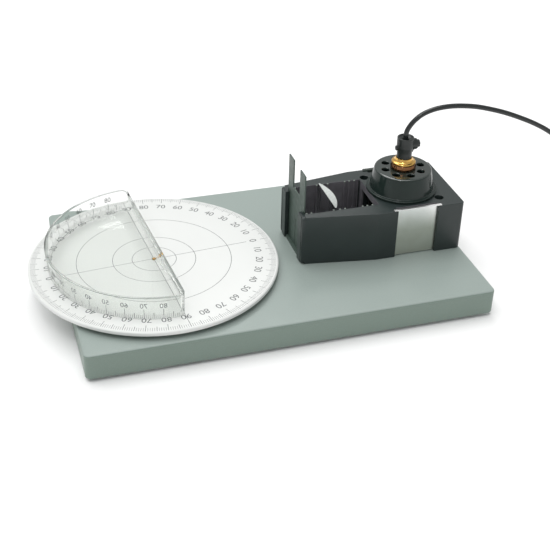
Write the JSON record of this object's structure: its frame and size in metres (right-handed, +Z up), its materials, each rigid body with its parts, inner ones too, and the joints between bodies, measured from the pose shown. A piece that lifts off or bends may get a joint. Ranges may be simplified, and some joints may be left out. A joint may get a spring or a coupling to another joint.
{
  "type": "optics bench unit with protractor disc and ray box",
  "caption": "Board with a turning protractor disc, a clear half-round trough, and a moulded ray box with lamp housing, lens, slit plate and side shutters.",
  "frame": {"origin": "on the table under the middle of the object's box, measured without the lead, its coil and its plug", "axes": "+X along the board from the disc to the ray box, +Y across the board to the back, +Z up"},
  "size_m": [0.7126, 0.261, 0.1731],
  "materials": {
    "laminate": "pale grey-green satin laminate over chipboard",
    "foot_rubber": "black rubber",
    "steel": "zinc-plated",
    "brass": "bright brass, slightly tarnished",
    "white_plastic": "white with a grey printed scale",
    "clear_plastic": "clear moulded acrylic, slightly green",
    "dark_moulding": "dark grey-green moulding, satin",
    "plate_plastic": "dark green-grey plate, satin",
    "lens_glass": "clear sides, ground top face",
    "aluminium": "rolled sheet",
    "insulator": "moulded insulator",
    "bulb_glass": "clear blown glass",
    "black_plastic": "black moulding",
    "cord_rubber": "black round sheath"
  },
  "bodies": {
    "stand": {"base_board": "laminate", "rubber_foot_1": "foot_rubber", "rubber_foot_2": "foot_rubber", "rubber_foot_3": "foot_rubber", "rubber_foot_4": "foot_rubber", "foot_screw_1": "steel", "foot_screw_2": "steel", "foot_screw_3": "steel", "foot_screw_4": "steel", "pivot_bush": "brass", "ray_box_body": "dark_moulding", "box_floor": "plate_plastic", "box_screw_1": "steel", "box_screw_2": "steel", "cord_lead": "cord_rubber", "cord_coil": "cord_rubber", "cord_tail": "cord_rubber", "cord_tie": "black_plastic", "plug_body": "black_plastic", "plug_pin_1": "brass", "plug_pin_2": "brass"},
    "turntable": {"protractor_disc": "white_plastic", "pivot_stud": "brass", "pivot_spacer": "brass", "pivot_nut": "brass"},
    "trough": {"refraction_trough": "clear_plastic"},
    "slit": {"slit_plate": "plate_plastic"},
    "lens": {"cylindrical_lens": "lens_glass"},
    "shutter_near": {"side_shutter_near": "aluminium"},
    "shutter_far": {"side_shutter_far": "plate_plastic"},
    "lamp_house": {"lamp_cap": "dark_moulding", "shade_ring_lower": "brass", "shade_ring_upper": "brass", "lampholder_shell": "brass", "lampholder_core": "insulator", "cord_grip": "black_plastic", "bulb_cap": "brass", "bulb_glass": "bulb_glass", "bulb_filament": "steel"},
    "contact_left": {"contact_plunger_1": "brass"},
    "contact_right": {"contact_plunger_2": "brass"},
    "clamp": {"clamp_screw": "black_plastic"}
  },
  "joints": [
    {"name": "disc_turn", "type": "hinge", "parent": "stand", "child": "turntable", "pos_m": [-0.09555, 0, 0.0342], "axis": [0, 0, 1], "continuous": true},
    {"name": "trough_lift", "type": "slide", "parent": "turntable", "child": "trough", "axis": [0, 0, 1], "range_m": [0, 0.04]},
    {"name": "slit_lift", "type": "slide", "parent": "stand", "child": "slit", "axis": [0, 0, 1], "range_m": [0, 0.06]},
    {"name": "lens_lift", "type": "slide", "parent": "stand", "child": "lens", "axis": [0, 0, 1], "range_m": [0, 0.05]},
    {"name": "shutter_near_lift", "type": "slide", "parent": "stand", "child": "shutter_near", "axis": [0, 0, 1], "range_m": [0, 0.05]},
    {"name": "shutter_far_lift", "type": "slide", "parent": "stand", "child": "shutter_far", "axis": [0, 0, 1], "range_m": [0, 0.05]},
    {"name": "lamp_turn", "type": "hinge", "parent": "stand", "child": "lamp_house", "pos_m": [0.16785, 0, 0.0843], "axis": [0, 0, 1], "range_deg": [-90, 90]},
    {"name": "contact_left_press", "type": "slide", "parent": "lamp_house", "child": "contact_left", "axis": [0, 0, 1], "range_m": [0, 0.0015], "stiffness_N_per_m": 300, "springref_m": -0.001},
    {"name": "contact_right_press", "type": "slide", "parent": "lamp_house", "child": "contact_right", "axis": [0, 0, 1], "range_m": [0, 0.0015], "stiffness_N_per_m": 300, "springref_m": -0.001},
    {"name": "clamp_turn", "type": "hinge", "parent": "lamp_house", "child": "clamp", "pos_m": [0.18, 0, 0.1334], "axis": [1, 0, 0], "continuous": true}
  ]
}
